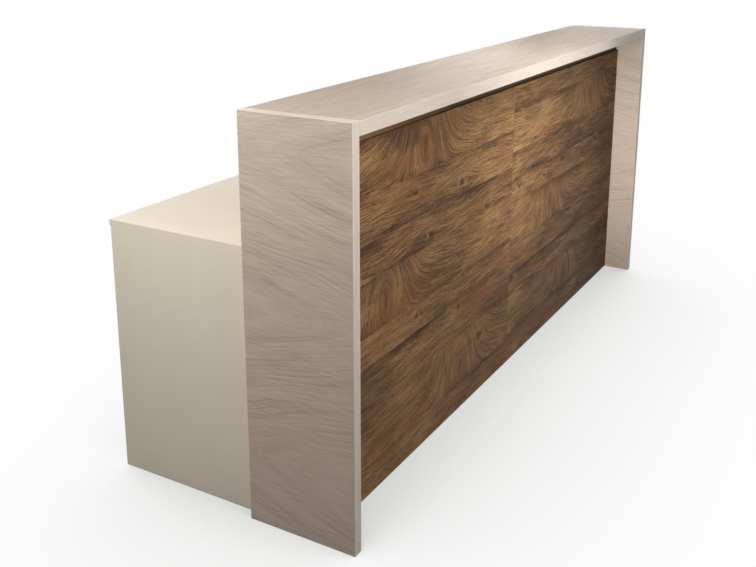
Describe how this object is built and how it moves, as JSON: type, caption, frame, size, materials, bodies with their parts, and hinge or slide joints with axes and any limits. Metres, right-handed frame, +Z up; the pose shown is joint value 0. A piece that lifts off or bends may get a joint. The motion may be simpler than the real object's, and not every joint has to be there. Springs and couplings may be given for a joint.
{
  "type": "reception desk",
  "caption": "Straight reception desk: pale oak counter frame, recessed walnut-decor front and a lower cream work desk behind it, on screw-in levelling feet.",
  "frame": {"origin": "on the floor under the middle of the desk's box", "axes": "+X along the desk to the visitor's right, -Y towards the visitor, +Z up"},
  "size_m": [2.4, 0.795, 1.09],
  "materials": {
    "pale_oak": "satin pale oak decor with light edge bands",
    "walnut_decor": "satin rustic walnut decor, grain along the desk",
    "dark_brown": "matt dark brown decor",
    "cream_board": "satin cream decor",
    "beech": "bare beech",
    "zinc_steel": "zinc plated",
    "grey_steel": "grey powder coat",
    "cream_plastic": "moulded cream"
  },
  "bodies": {
    "desk": {"left_end_panel": "pale_oak", "right_end_panel": "pale_oak", "counter_shelf": "pale_oak", "fascia_left": "walnut_decor", "fascia_right": "walnut_decor", "shadow_rail": "dark_brown", "spine_panel": "cream_board", "worktop": "cream_board", "left_side_panel": "cream_board", "right_side_panel": "cream_board", "centre_panel": "cream_board", "side_bolt_left_1": "zinc_steel", "side_bolt_left_2": "zinc_steel", "side_bolt_left_3": "zinc_steel", "shelf_dowel_left_front": "beech", "shelf_dowel_left_back": "beech", "shelf_bracket_left_inner": "zinc_steel", "worktop_bracket_left_inner": "zinc_steel", "shelf_bracket_left_outer": "zinc_steel", "worktop_bracket_left_outer": "zinc_steel", "grommet_ring_left": "cream_plastic", "cable_tray_left": "grey_steel", "side_bolt_right_1": "zinc_steel", "side_bolt_right_2": "zinc_steel", "side_bolt_right_3": "zinc_steel", "shelf_dowel_right_front": "beech", "shelf_dowel_right_back": "beech", "shelf_bracket_right_inner": "zinc_steel", "worktop_bracket_right_inner": "zinc_steel", "shelf_bracket_right_outer": "zinc_steel", "worktop_bracket_right_outer": "zinc_steel", "grommet_ring_right": "cream_plastic", "cable_tray_right": "grey_steel", "foot_insert_left_end_front": "zinc_steel", "foot_insert_left_end_back": "zinc_steel", "foot_insert_left_side_front": "zinc_steel", "foot_insert_left_side_back": "zinc_steel", "foot_insert_spine_left": "zinc_steel", "foot_insert_right_end_front": "zinc_steel", "foot_insert_right_end_back": "zinc_steel", "foot_insert_right_side_front": "zinc_steel", "foot_insert_right_side_back": "zinc_steel", "foot_insert_spine_right": "zinc_steel", "foot_insert_centre_back": "zinc_steel"},
    "grommet_cap_left": {"grommet_cap_left": "cream_plastic"},
    "grommet_cap_right": {"grommet_cap_right": "cream_plastic"},
    "foot_left_end_front": {"foot_left_end_front": "zinc_steel"},
    "foot_left_end_back": {"foot_left_end_back": "zinc_steel"},
    "foot_left_side_front": {"foot_left_side_front": "zinc_steel"},
    "foot_left_side_back": {"foot_left_side_back": "zinc_steel"},
    "foot_spine_left": {"foot_spine_left": "zinc_steel"},
    "foot_right_end_front": {"foot_right_end_front": "zinc_steel"},
    "foot_right_end_back": {"foot_right_end_back": "zinc_steel"},
    "foot_right_side_front": {"foot_right_side_front": "zinc_steel"},
    "foot_right_side_back": {"foot_right_side_back": "zinc_steel"},
    "foot_spine_right": {"foot_spine_right": "zinc_steel"},
    "foot_centre_back": {"foot_centre_back": "zinc_steel"}
  },
  "joints": [
    {"name": "foot_left_end_front_screw", "type": "slide", "parent": "desk", "child": "foot_left_end_front", "axis": [0, 0, -1], "range_m": [0, 0.015]},
    {"name": "foot_left_end_back_screw", "type": "slide", "parent": "desk", "child": "foot_left_end_back", "axis": [0, 0, -1], "range_m": [0, 0.015]},
    {"name": "foot_left_side_front_screw", "type": "slide", "parent": "desk", "child": "foot_left_side_front", "axis": [0, 0, -1], "range_m": [0, 0.015]},
    {"name": "foot_left_side_back_screw", "type": "slide", "parent": "desk", "child": "foot_left_side_back", "axis": [0, 0, -1], "range_m": [0, 0.015]},
    {"name": "foot_spine_left_screw", "type": "slide", "parent": "desk", "child": "foot_spine_left", "axis": [0, 0, -1], "range_m": [0, 0.015]},
    {"name": "foot_right_end_front_screw", "type": "slide", "parent": "desk", "child": "foot_right_end_front", "axis": [0, 0, -1], "range_m": [0, 0.015]},
    {"name": "foot_right_end_back_screw", "type": "slide", "parent": "desk", "child": "foot_right_end_back", "axis": [0, 0, -1], "range_m": [0, 0.015]},
    {"name": "foot_right_side_front_screw", "type": "slide", "parent": "desk", "child": "foot_right_side_front", "axis": [0, 0, -1], "range_m": [0, 0.015]},
    {"name": "foot_right_side_back_screw", "type": "slide", "parent": "desk", "child": "foot_right_side_back", "axis": [0, 0, -1], "range_m": [0, 0.015]},
    {"name": "foot_spine_right_screw", "type": "slide", "parent": "desk", "child": "foot_spine_right", "axis": [0, 0, -1], "range_m": [0, 0.015]},
    {"name": "foot_centre_back_screw", "type": "slide", "parent": "desk", "child": "foot_centre_back", "axis": [0, 0, -1], "range_m": [0, 0.015]},
    {"name": "grommet_cap_left_turn", "type": "hinge", "parent": "desk", "child": "grommet_cap_left", "pos_m": [-0.5805, -0.1595, 0.74], "axis": [0, 0, 1], "continuous": true},
    {"name": "grommet_cap_right_turn", "type": "hinge", "parent": "desk", "child": "grommet_cap_right", "pos_m": [0.5805, -0.1595, 0.74], "axis": [0, 0, 1], "continuous": true}
  ]
}
